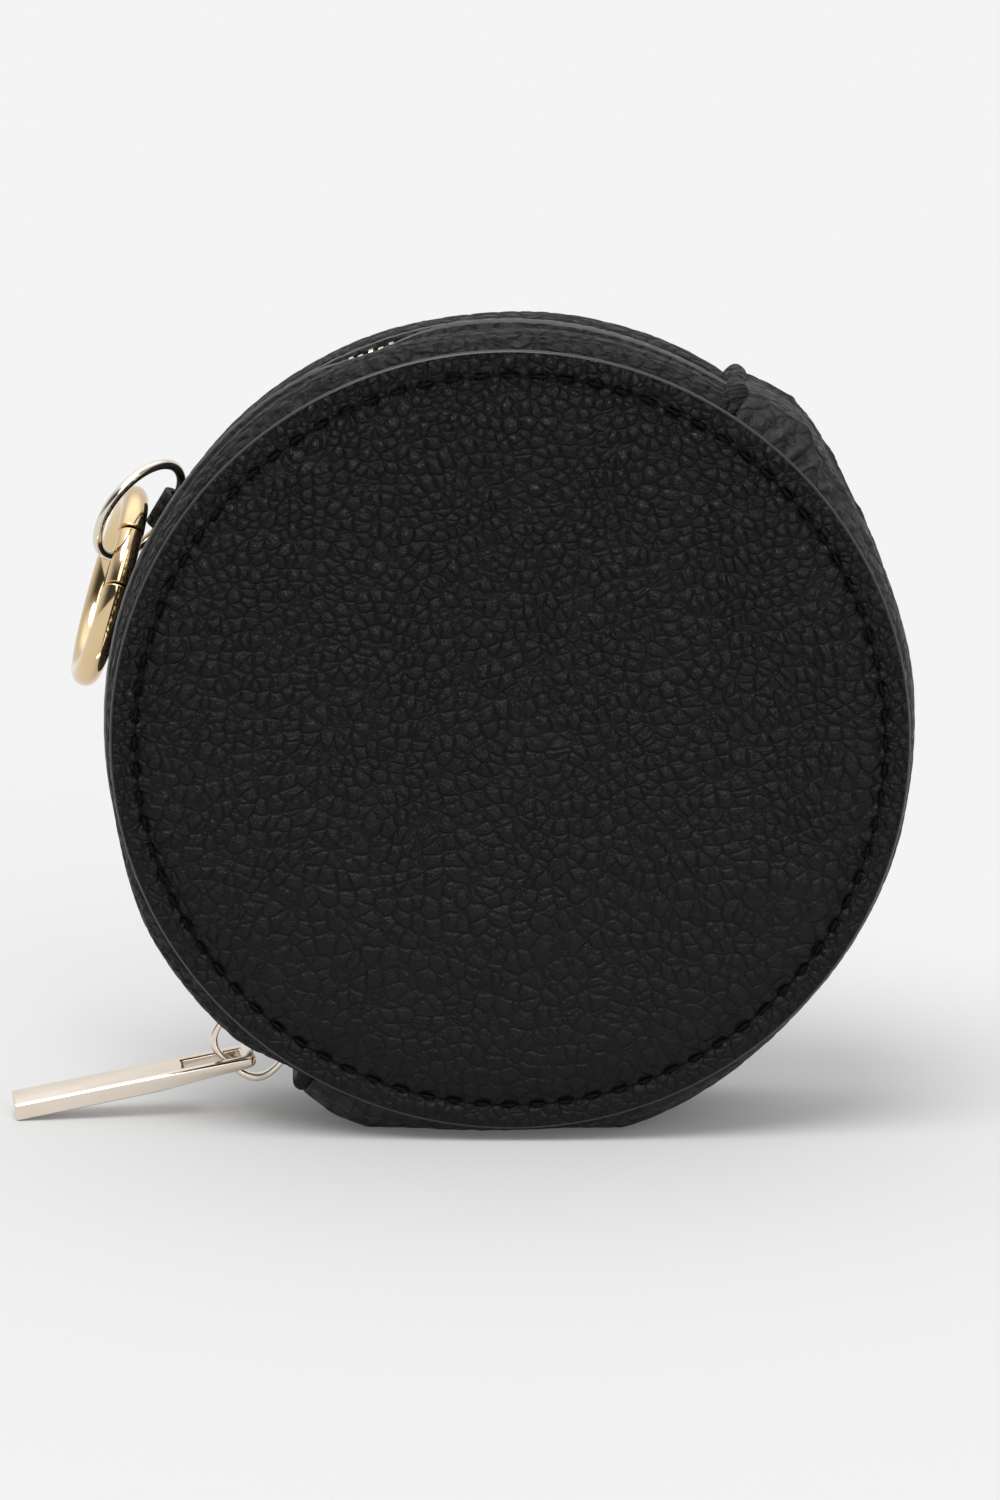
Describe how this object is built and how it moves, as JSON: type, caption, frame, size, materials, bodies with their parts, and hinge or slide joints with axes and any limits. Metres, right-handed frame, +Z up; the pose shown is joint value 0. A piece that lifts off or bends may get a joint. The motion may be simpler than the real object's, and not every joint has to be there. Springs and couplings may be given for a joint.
{
  "type": "coin purse",
  "caption": "Round leather coin purse that stands on its rim, with padded faces, a zip around half the rim, a slotted bar pull, and a gate ring on a wire ring.",
  "frame": {"origin": "on the floor under the discs' centre, midway between the two faces", "axes": "+Z up, -Y out of the front face, +X to the right seen from the front"},
  "size_m": [0.1165, 0.0502, 0.1039],
  "materials": {
    "black_leather": "pebbled black leather with a soft satin sheen",
    "lining_cloth": "plain woven black lining",
    "zip_tape": "black woven zip tape",
    "padding_foam": "soft closed-cell foam",
    "fibre_board": "stiff fibre board",
    "pale_gold": "polished pale gold plating"
  },
  "bodies": {
    "purse": {"rear_panel": "black_leather", "rear_padding": "padding_foam", "rear_stiffener": "fibre_board", "rear_lining": "lining_cloth", "rear_zip_strip": "black_leather", "rear_strip_lining": "lining_cloth", "rear_zip_tape": "zip_tape", "rear_zip_teeth": "pale_gold", "rear_top_stop": "pale_gold", "bottom_stop": "pale_gold", "gusset": "black_leather", "gusset_lining": "lining_cloth", "upper_end_rib": "black_leather", "lower_end_rib": "black_leather", "hanger_tab": "black_leather"},
    "front_half": {"front_panel": "black_leather", "front_padding": "padding_foam", "front_stiffener": "fibre_board", "front_lining": "lining_cloth", "front_zip_strip": "black_leather", "front_strip_lining": "lining_cloth", "front_zip_tape": "zip_tape", "front_zip_teeth": "pale_gold", "front_top_stop": "pale_gold"},
    "slider": {"slider_body": "pale_gold", "slider_crown": "pale_gold", "slider_lock_spring": "pale_gold"},
    "pull": {"pull_bar": "pale_gold"},
    "wire_ring": {"hanger_ring": "pale_gold"},
    "snap_ring": {"gate_ring": "pale_gold", "gate_pin": "pale_gold"},
    "snap_gate": {"gate": "pale_gold"}
  },
  "joints": [
    {"name": "front_opening", "type": "hinge", "parent": "purse", "child": "front_half", "pos_m": [0, -0.009, 0.0515], "axis": [0.5188, 0, 0.8549], "range_deg": [0, 25], "deforming": ["gusset", "gusset_lining", "upper_end_rib", "lower_end_rib", "front_zip_tape", "front_zip_teeth"]},
    {"name": "slider_travel", "type": "hinge", "parent": "purse", "child": "slider", "pos_m": [0, 0, 0.0515], "axis": [0, 1, 0], "range_deg": [0, 160], "deforming": ["rear_zip_teeth"]},
    {"name": "pull_swing", "type": "hinge", "parent": "slider", "child": "pull", "pos_m": [-0.0342, 0.00035, 0.007], "axis": [0, 1, 0], "range_deg": [-90, 30]},
    {"name": "wire_ring_swing", "type": "hinge", "parent": "purse", "child": "wire_ring", "pos_m": [-0.04451, 0.0179, 0.07588], "axis": [-0.5066, 0.1483, -0.8493], "range_deg": [0, 20]},
    {"name": "snap_ring_swing", "type": "hinge", "parent": "wire_ring", "child": "snap_ring", "pos_m": [-0.05015, 0.01815, 0.07424], "axis": [0, 1, 0], "range_deg": [0, 12]},
    {"name": "gate_swing", "type": "hinge", "parent": "snap_ring", "child": "snap_gate", "pos_m": [-0.04948, 0.0115, 0.07435], "axis": [0.9536, 0.0905, -0.2871], "range_deg": [0, 20], "stiffness_Nm_per_rad": 0.004, "springref_deg": -17.19}
  ],
  "couplings": [
    {"joint": "slider_travel", "follows": "front_opening", "ratio": 6.4}
  ]
}
